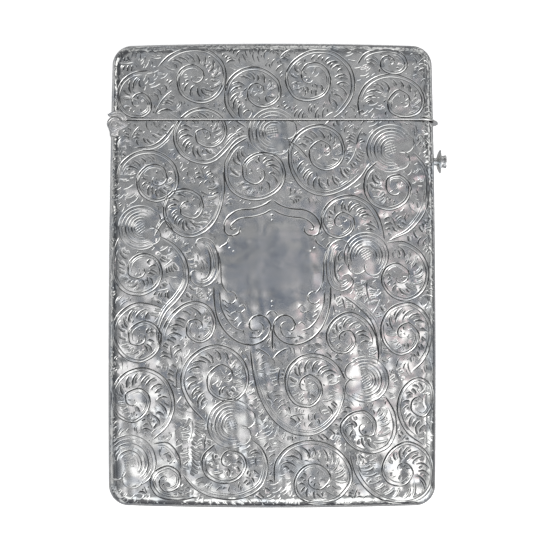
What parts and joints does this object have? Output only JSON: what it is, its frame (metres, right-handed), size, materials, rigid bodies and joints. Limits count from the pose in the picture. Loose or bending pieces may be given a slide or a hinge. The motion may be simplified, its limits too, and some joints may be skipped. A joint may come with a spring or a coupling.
{
  "type": "business card case",
  "caption": "Flat engraved silver card case with a side-hinged lid, a push-button latch in the side wall and a blank cartouche on the front.",
  "frame": {"origin": "middle of the flat back, on which the case lies", "axes": "+X across the width towards the push button, +Y along the height towards the lid, +Z out of the engraved front"},
  "size_m": [0.0713, 0.097, 0.0091],
  "materials": {
    "engraved_silver": "sterling silver, engraved all over, polished, with light tarnish in the cuts",
    "plain_silver": "sterling silver, plain and softly worn",
    "spring_steel": "spring steel"
  },
  "bodies": {
    "case": {"body_front_shell": "engraved_silver", "body_back_shell": "engraved_silver", "mouth_bezel": "plain_silver", "hinge_knuckle_front": "plain_silver", "hinge_knuckle_back": "plain_silver", "hinge_pin": "plain_silver", "button_bush": "plain_silver", "latch_spring_block": "plain_silver", "latch_spring": "spring_steel", "latch_spring_rivets": "plain_silver", "lifter_spring_seat": "plain_silver", "lifter_spring": "spring_steel", "lifter_spring_rivets": "plain_silver"},
    "lid": {"lid_front_shell": "engraved_silver", "lid_back_shell": "engraved_silver", "lid_rim": "plain_silver", "lid_hinge_knuckle": "plain_silver", "lid_hinge_ear_front": "plain_silver", "lid_hinge_ear_back": "plain_silver", "lid_thumb_lip": "plain_silver", "lid_keeper": "plain_silver"},
    "button": {"push_button": "plain_silver", "button_washer": "plain_silver"},
    "catch": {"latch_hook": "spring_steel"}
  },
  "joints": [
    {"name": "lid_hinge", "type": "hinge", "parent": "case", "child": "lid", "pos_m": [-0.03296, 0.0311, 0.0045], "axis": [0, 0, 1], "range_deg": [0, 95]},
    {"name": "button_press", "type": "slide", "parent": "case", "child": "button", "axis": [-1, 0, 0], "range_m": [0, 0.0006], "stiffness_N_per_m": 5000},
    {"name": "catch_swing", "type": "hinge", "parent": "case", "child": "catch", "pos_m": [0.03203, 0.0122, 0.0045], "axis": [0, 0, 1], "range_deg": [0, 3.1], "deforming": ["latch_spring"]}
  ],
  "couplings": [
    {"joint": "catch_swing", "follows": "button_press", "rad_per_m": 86.58}
  ]
}
